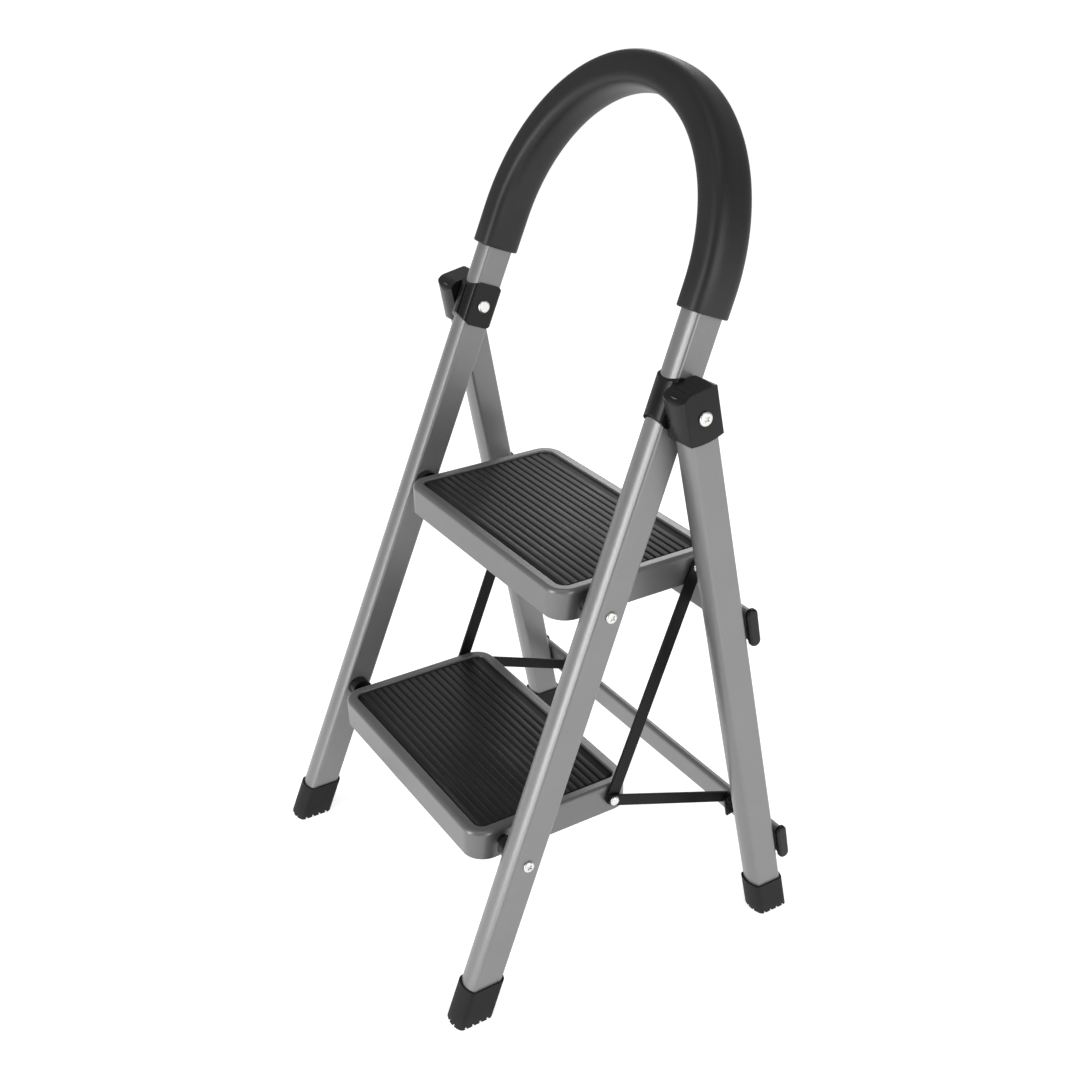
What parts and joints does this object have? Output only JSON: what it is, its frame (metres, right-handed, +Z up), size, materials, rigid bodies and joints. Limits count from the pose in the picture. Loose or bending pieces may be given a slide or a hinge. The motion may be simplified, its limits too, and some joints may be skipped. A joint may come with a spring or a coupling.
{
  "type": "folding step stool",
  "caption": "Folding step stool with two ribbed steps, an arched front frame with a foam-gripped handle and a rear frame that folds forward.",
  "frame": {"origin": "on the floor, in the middle of the open stool's outline", "axes": "+Z up, the user climbs facing +Y, so the front feet are towards -Y; +X to the user's right"},
  "size_m": [0.4666, 0.3862, 0.8458],
  "materials": {
    "painted_tube": "silver-grey powder coat, satin",
    "painted_tray": "silver-grey powder coat, satin",
    "foam_grip": "closed-cell foam, soft sheen",
    "black_plastic": "moulded, fine texture",
    "black_rubber": "moulded rubber, matt",
    "zinc_steel": "zinc-plated, bright",
    "ribbed_mat": "ribbed mat, matt",
    "black_links": "black paint, satin"
  },
  "bodies": {
    "front_frame": {"front_frame_tube": "painted_tube", "foam_grip": "foam_grip", "hinge_sleeve_right": "black_plastic", "hinge_sleeve_left": "black_plastic", "front_foot_right": "black_rubber", "front_foot_left": "black_rubber", "hinge_bolts": "zinc_steel", "hinge_nuts": "zinc_steel", "upper_pivot_spacers": "black_plastic", "lower_pivot_spacers": "black_plastic", "step_pivot_bolts": "zinc_steel", "step_pivot_nuts": "zinc_steel"},
    "rear_frame": {"rear_leg_right": "painted_tube", "rear_leg_left": "painted_tube", "hinge_hood_right": "black_plastic", "hinge_hood_left": "black_plastic", "rear_foot_right": "black_rubber", "rear_foot_left": "black_rubber", "upper_crossbar": "painted_tube", "lower_crossbar": "painted_tube", "crossbar_end_plugs": "black_plastic", "crossbar_bolts": "zinc_steel", "stay_brackets": "black_links", "stay_bracket_rivets": "zinc_steel", "stay_pins": "black_links"},
    "upper_step": {"upper_step_tray": "painted_tray", "upper_step_mat": "ribbed_mat", "upper_link_rivets": "zinc_steel"},
    "lower_step": {"lower_step_tray": "painted_tray", "lower_step_mat": "ribbed_mat", "lower_link_rivets": "zinc_steel"},
    "step_link_right": {"step_link_right": "black_links"},
    "step_link_left": {"step_link_left": "black_links"},
    "stay_link_right": {"stay_link_right": "black_links", "stay_eye_rivet_right": "zinc_steel"},
    "stay_link_left": {"stay_link_left": "black_links", "stay_eye_rivet_left": "zinc_steel"}
  },
  "joints": [
    {"name": "frame_fold", "type": "hinge", "parent": "front_frame", "child": "rear_frame", "pos_m": [0, 0.06133, 0.578], "axis": [-1, 0, 0], "range_deg": [0, 30.6]},
    {"name": "upper_step_tilt", "type": "hinge", "parent": "front_frame", "child": "upper_step", "pos_m": [0, -0.01302, 0.394], "axis": [1, 0, 0], "range_deg": [0, 62.01]},
    {"name": "lower_step_tilt", "type": "hinge", "parent": "front_frame", "child": "lower_step", "pos_m": [0, -0.10796, 0.159], "axis": [1, 0, 0], "range_deg": [0, 62.01]},
    {"name": "step_link_right_turn", "type": "hinge", "parent": "lower_step", "child": "step_link_right", "pos_m": [0.154, 0.01654, 0.159], "axis": [-1, 0, 0], "range_deg": [0, 62.01]},
    {"name": "stay_link_right_turn", "type": "hinge", "parent": "rear_frame", "child": "stay_link_right", "pos_m": [0.1575, 0.16472, 0.10294], "axis": [-1, 0, 0], "range_deg": [0, 54.09]},
    {"name": "step_link_left_turn", "type": "hinge", "parent": "lower_step", "child": "step_link_left", "pos_m": [-0.154, 0.01654, 0.159], "axis": [-1, 0, 0], "range_deg": [0, 62.01]},
    {"name": "stay_link_left_turn", "type": "hinge", "parent": "rear_frame", "child": "stay_link_left", "pos_m": [-0.1575, 0.16472, 0.10294], "axis": [-1, 0, 0], "range_deg": [0, 54.09]}
  ],
  "couplings": [
    {"joint": "upper_step_tilt", "follows": "frame_fold", "ratio": 2.0261},
    {"joint": "lower_step_tilt", "follows": "frame_fold", "ratio": 2.0261},
    {"joint": "step_link_right_turn", "follows": "frame_fold", "ratio": 2.0261},
    {"joint": "stay_link_right_turn", "follows": "frame_fold", "ratio": 1.7673},
    {"joint": "step_link_left_turn", "follows": "frame_fold", "ratio": 2.0261},
    {"joint": "stay_link_left_turn", "follows": "frame_fold", "ratio": 1.7673}
  ]
}
